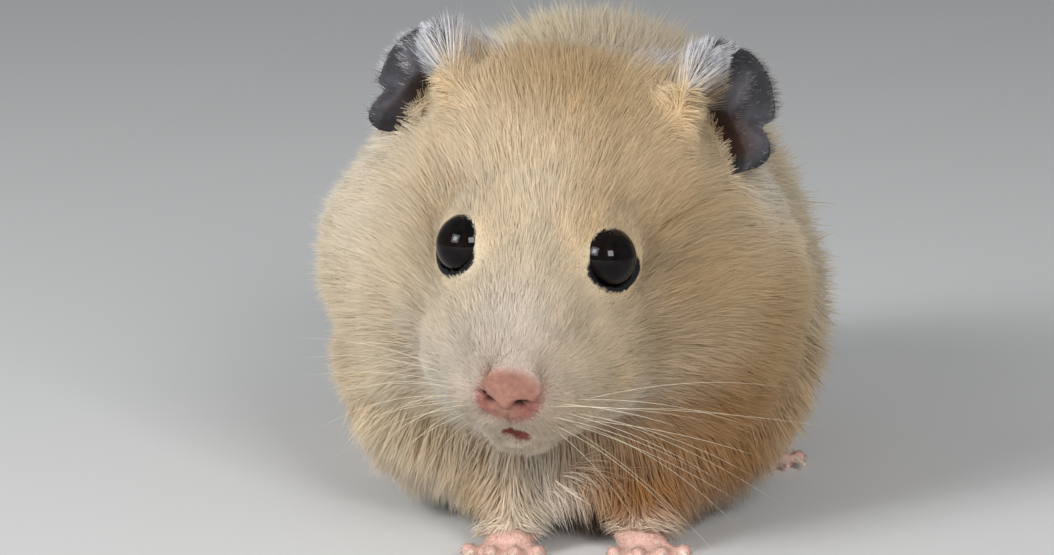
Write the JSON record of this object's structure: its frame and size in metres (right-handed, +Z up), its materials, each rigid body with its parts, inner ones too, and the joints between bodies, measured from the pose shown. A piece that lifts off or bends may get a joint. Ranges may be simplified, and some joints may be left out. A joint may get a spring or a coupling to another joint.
{
  "type": "syrian hamster",
  "caption": "Life-size Syrian hamster, cream coat with dark ears, crouched on all fours with its head turned slightly; a still model.",
  "frame": {"origin": "on the floor, under the middle of the animal's bounding box", "axes": "+X towards the animal's left, +Y towards its tail, +Z up; it faces -Y"},
  "size_m": [0.0616, 0.1206, 0.0587],
  "materials": {
    "cream_coat": "soft cream fur, golden on the crown and greyer on the shoulders",
    "white_coat": "short off-white fur round the mouth and chin",
    "ear_skin": "thin charcoal skin with fine hair",
    "nose_skin": "moist pink skin",
    "foot_skin": "bare pink skin with short white hair on top",
    "eye": "wet black",
    "claw": "translucent pale horn"
  },
  "bodies": {
    "root": {"cheek_left": "cream_coat", "cheek_right": "cream_coat", "chest": "cream_coat", "claw_fore_left_1": "claw", "claw_fore_left_2": "claw", "claw_fore_left_3": "claw", "claw_fore_left_4": "claw", "claw_fore_right_1": "claw", "claw_fore_right_2": "claw", "claw_fore_right_3": "claw", "claw_fore_right_4": "claw", "claw_hind_left_1": "claw", "claw_hind_left_2": "claw", "claw_hind_left_3": "claw", "claw_hind_left_4": "claw", "claw_hind_left_5": "claw", "claw_hind_right_1": "claw", "claw_hind_right_2": "claw", "claw_hind_right_3": "claw", "claw_hind_right_4": "claw", "claw_hind_right_5": "claw", "ear_left": "ear_skin", "ear_right": "ear_skin", "eye_left": "eye", "eye_right": "eye", "foreleg_left": "cream_coat", "foreleg_right": "cream_coat", "forepaw_left": "foot_skin", "forepaw_right": "foot_skin", "head": "cream_coat", "hindfoot_left": "foot_skin", "hindfoot_right": "foot_skin", "hindleg_left": "cream_coat", "hindleg_right": "cream_coat", "lower_jaw": "white_coat", "muzzle": "white_coat", "neck": "cream_coat", "nose": "nose_skin", "rump": "cream_coat", "tail": "cream_coat", "trunk": "cream_coat"}
  },
  "joints": []
}
